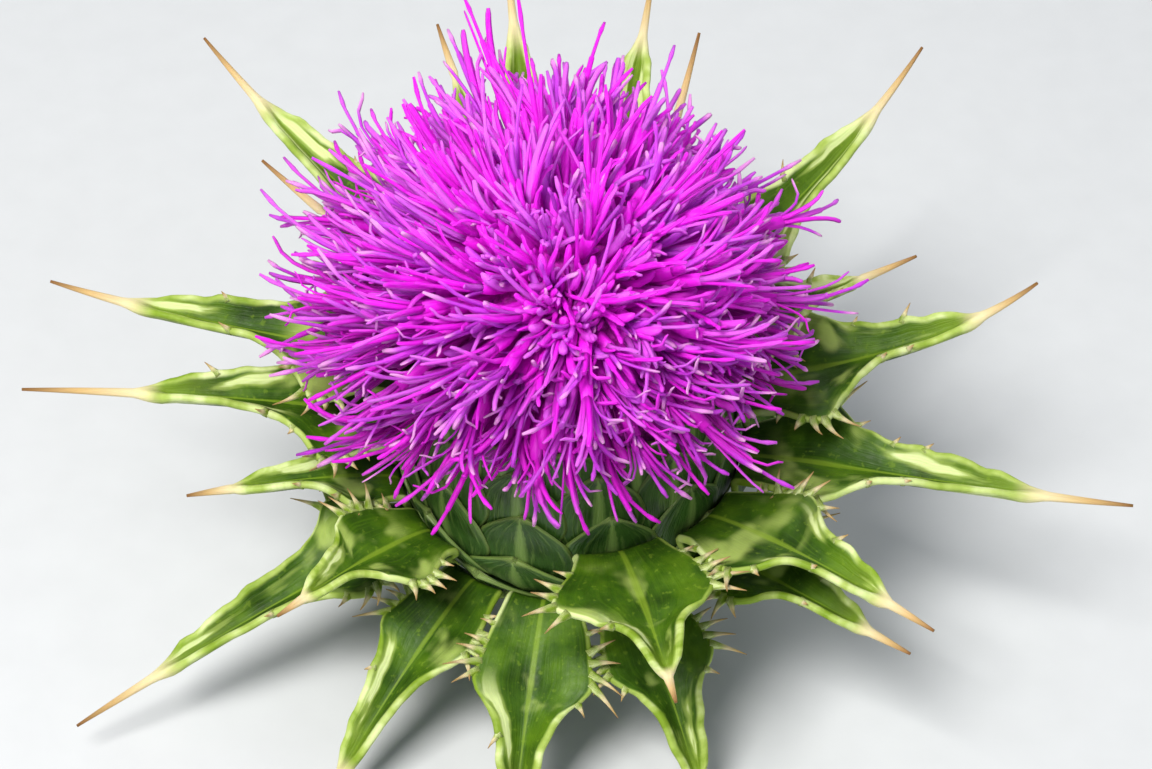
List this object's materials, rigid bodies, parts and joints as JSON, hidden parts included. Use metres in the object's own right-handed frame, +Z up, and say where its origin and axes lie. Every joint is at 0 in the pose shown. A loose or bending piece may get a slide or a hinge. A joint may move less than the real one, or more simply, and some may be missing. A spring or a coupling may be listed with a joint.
{
  "type": "thistle flower",
  "caption": "Picked thistle head: a round magenta tuft of florets in a green cup of spreading, spiny bracts, standing on its lower spine tips.",
  "frame": {"origin": "middle of the whole head's outline on the surface that it stands on, nearly under the flower's axis", "axes": "+Z up along the flower's axis, out of the tuft; +X to the right of the view from the front, along the head's longest spread; the front is -Y"},
  "size_m": [0.1028, 0.0846, 0.0648],
  "materials": {
    "floret_magenta": "satin, slightly waxy tubes with pale tips",
    "involucre_green": "satin, faintly ribbed",
    "bract_green": "satin green with pale thick margins and straw-coloured spines",
    "stalk_green": "matt, ribbed, with a fine bloom of hairs"
  },
  "bodies": {
    "root": {"florets": "floret_magenta", "involucre": "involucre_green", "stalk": "stalk_green", "lower_bract_01": "bract_green", "lower_bract_02": "bract_green", "lower_bract_03": "bract_green", "lower_bract_04": "bract_green", "lower_bract_05": "bract_green", "lower_bract_06": "bract_green", "lower_bract_07": "bract_green", "lower_bract_08": "bract_green", "lower_bract_09": "bract_green", "lower_bract_10": "bract_green", "middle_bract_01": "bract_green", "middle_bract_02": "bract_green", "middle_bract_03": "bract_green", "middle_bract_04": "bract_green", "middle_bract_05": "bract_green", "middle_bract_06": "bract_green", "middle_bract_07": "bract_green", "middle_bract_08": "bract_green", "middle_bract_09": "bract_green", "middle_bract_10": "bract_green", "upper_bract_01": "bract_green", "upper_bract_02": "bract_green", "upper_bract_03": "bract_green", "upper_bract_04": "bract_green", "upper_bract_05": "bract_green", "upper_bract_06": "bract_green", "upper_bract_07": "bract_green", "upper_bract_08": "bract_green", "upper_bract_09": "bract_green"}
  },
  "joints": []
}
